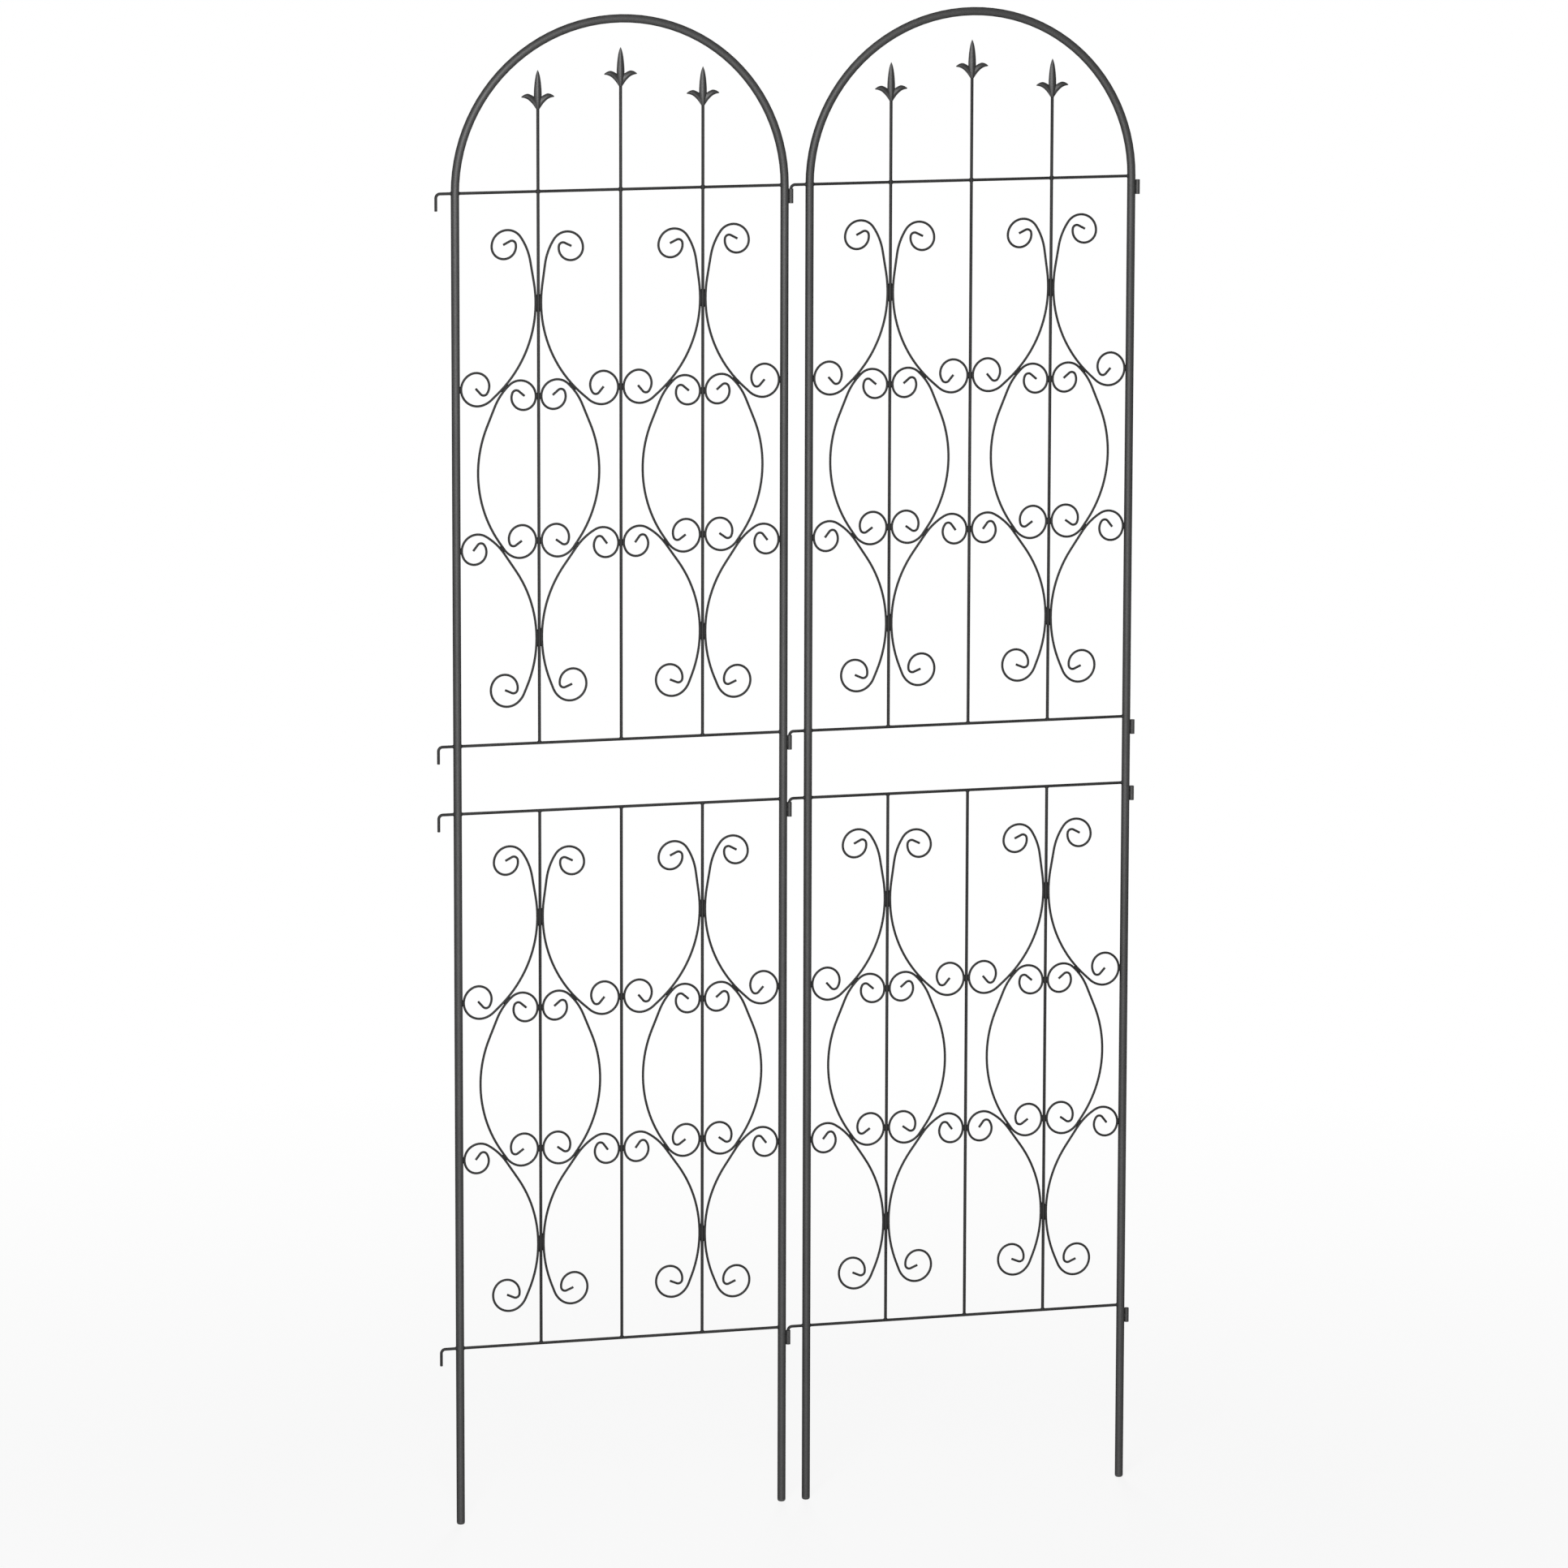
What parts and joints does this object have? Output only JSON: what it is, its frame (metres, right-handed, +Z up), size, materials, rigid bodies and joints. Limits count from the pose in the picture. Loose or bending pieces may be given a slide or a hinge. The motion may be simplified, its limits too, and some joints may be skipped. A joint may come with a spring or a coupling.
{
  "type": "arched garden trellis panel set",
  "caption": "Flat arch-topped garden trellis panels in charcoal powder-coated steel, filled with scroll rods and leaf finials, hooked side by side to stand straight or at an angle.",
  "frame": {"origin": "on the ground under the middle of the whole set, in the plane of the panels", "axes": "+Z up, +X along the panels to the right as seen from the front, -Y to the front"},
  "size_m": [1.0566, 0.012, 2.2],
  "materials": {
    "powder_coat": "satin charcoal powder coat",
    "cap_plastic": "satin charcoal",
    "spigot_steel": "plain drawn steel"
  },
  "bodies": {
    "left_lower": {"left_bottom_rail": "powder_coat", "left_foot_caps": "cap_plastic", "left_lower_bar_left": "powder_coat", "left_lower_bar_middle": "powder_coat", "left_lower_bar_right": "powder_coat", "left_lower_base_scrolls": "powder_coat", "left_lower_crown_scrolls": "powder_coat", "left_lower_hooks": "powder_coat", "left_lower_oval_scrolls": "powder_coat", "left_lower_post_left": "powder_coat", "left_lower_post_right": "powder_coat", "left_lower_rings": "powder_coat", "left_lower_waist_rail": "powder_coat", "left_spigots": "spigot_steel"},
    "left_upper": {"left_arch_tube": "powder_coat", "left_finial_left": "powder_coat", "left_finial_middle": "powder_coat", "left_finial_right": "powder_coat", "left_finial_stems": "powder_coat", "left_top_rail": "powder_coat", "left_upper_bar_left": "powder_coat", "left_upper_bar_middle": "powder_coat", "left_upper_bar_right": "powder_coat", "left_upper_base_scrolls": "powder_coat", "left_upper_crown_scrolls": "powder_coat", "left_upper_hooks": "powder_coat", "left_upper_oval_scrolls": "powder_coat", "left_upper_rings": "powder_coat", "left_upper_waist_rail": "powder_coat"},
    "right_lower": {"right_bottom_rail": "powder_coat", "right_foot_caps": "cap_plastic", "right_lower_bar_left": "powder_coat", "right_lower_bar_middle": "powder_coat", "right_lower_bar_right": "powder_coat", "right_lower_base_scrolls": "powder_coat", "right_lower_crown_scrolls": "powder_coat", "right_lower_hooks": "powder_coat", "right_lower_oval_scrolls": "powder_coat", "right_lower_post_left": "powder_coat", "right_lower_post_right": "powder_coat", "right_lower_rings": "powder_coat", "right_lower_waist_rail": "powder_coat", "right_spigots": "spigot_steel"},
    "right_upper": {"right_arch_tube": "powder_coat", "right_finial_left": "powder_coat", "right_finial_middle": "powder_coat", "right_finial_right": "powder_coat", "right_finial_stems": "powder_coat", "right_top_rail": "powder_coat", "right_upper_bar_left": "powder_coat", "right_upper_bar_middle": "powder_coat", "right_upper_bar_right": "powder_coat", "right_upper_base_scrolls": "powder_coat", "right_upper_crown_scrolls": "powder_coat", "right_upper_hooks": "powder_coat", "right_upper_oval_scrolls": "powder_coat", "right_upper_rings": "powder_coat", "right_upper_waist_rail": "powder_coat"}
  },
  "joints": [
    {"name": "panel_swing", "type": "hinge", "parent": "left_lower", "child": "right_lower", "pos_m": [-0.0007, 0, 0.264], "axis": [0, 0, 1], "range_deg": [-115, 115]},
    {"name": "right_top_lift", "type": "slide", "parent": "right_lower", "child": "right_upper", "axis": [0, 0, 1], "range_m": [0, 0.06]},
    {"name": "left_top_lift", "type": "slide", "parent": "left_lower", "child": "left_upper", "axis": [0, 0, 1], "range_m": [0, 0.06]}
  ],
  "couplings": [
    {"joint": "left_top_lift", "follows": "right_top_lift", "ratio": 1}
  ]
}
